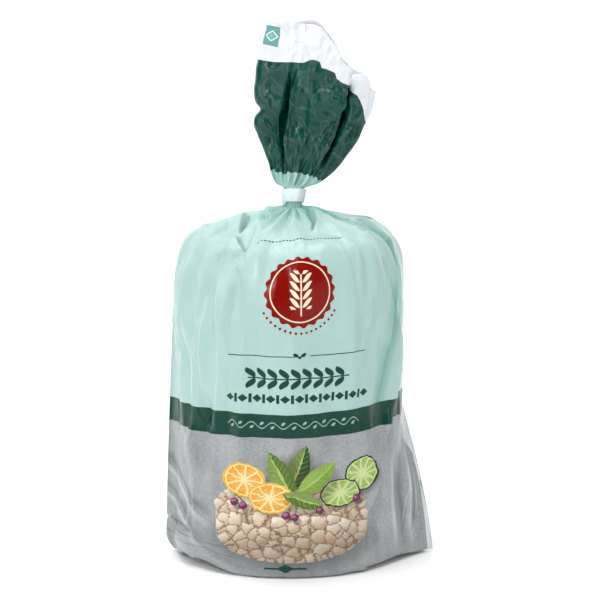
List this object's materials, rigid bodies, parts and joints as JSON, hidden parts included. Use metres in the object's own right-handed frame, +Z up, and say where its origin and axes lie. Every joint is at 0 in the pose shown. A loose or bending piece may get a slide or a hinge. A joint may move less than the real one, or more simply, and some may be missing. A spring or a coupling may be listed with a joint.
{
  "type": "bag of puffed rice cakes",
  "caption": "Round stack of puffed rice cakes in a printed film bag, gathered into a crumpled fan above a paper tape, with flat side-seal ears at the base.",
  "frame": {"origin": "on the floor, at the middle of the flat base under the stack of cakes", "axes": "+Z up along the stack towards the gathered top, -Y out of the printed front, +X towards the longer side-seal ear"},
  "size_m": [0.1164, 0.0988, 0.2304],
  "materials": {
    "printed_film": "printed polypropylene film, soft gloss, creased",
    "paper_tape": "matt white paper tape"
  },
  "bodies": {
    "root": {"film_bag": "printed_film", "closure_tape": "paper_tape"}
  },
  "joints": []
}
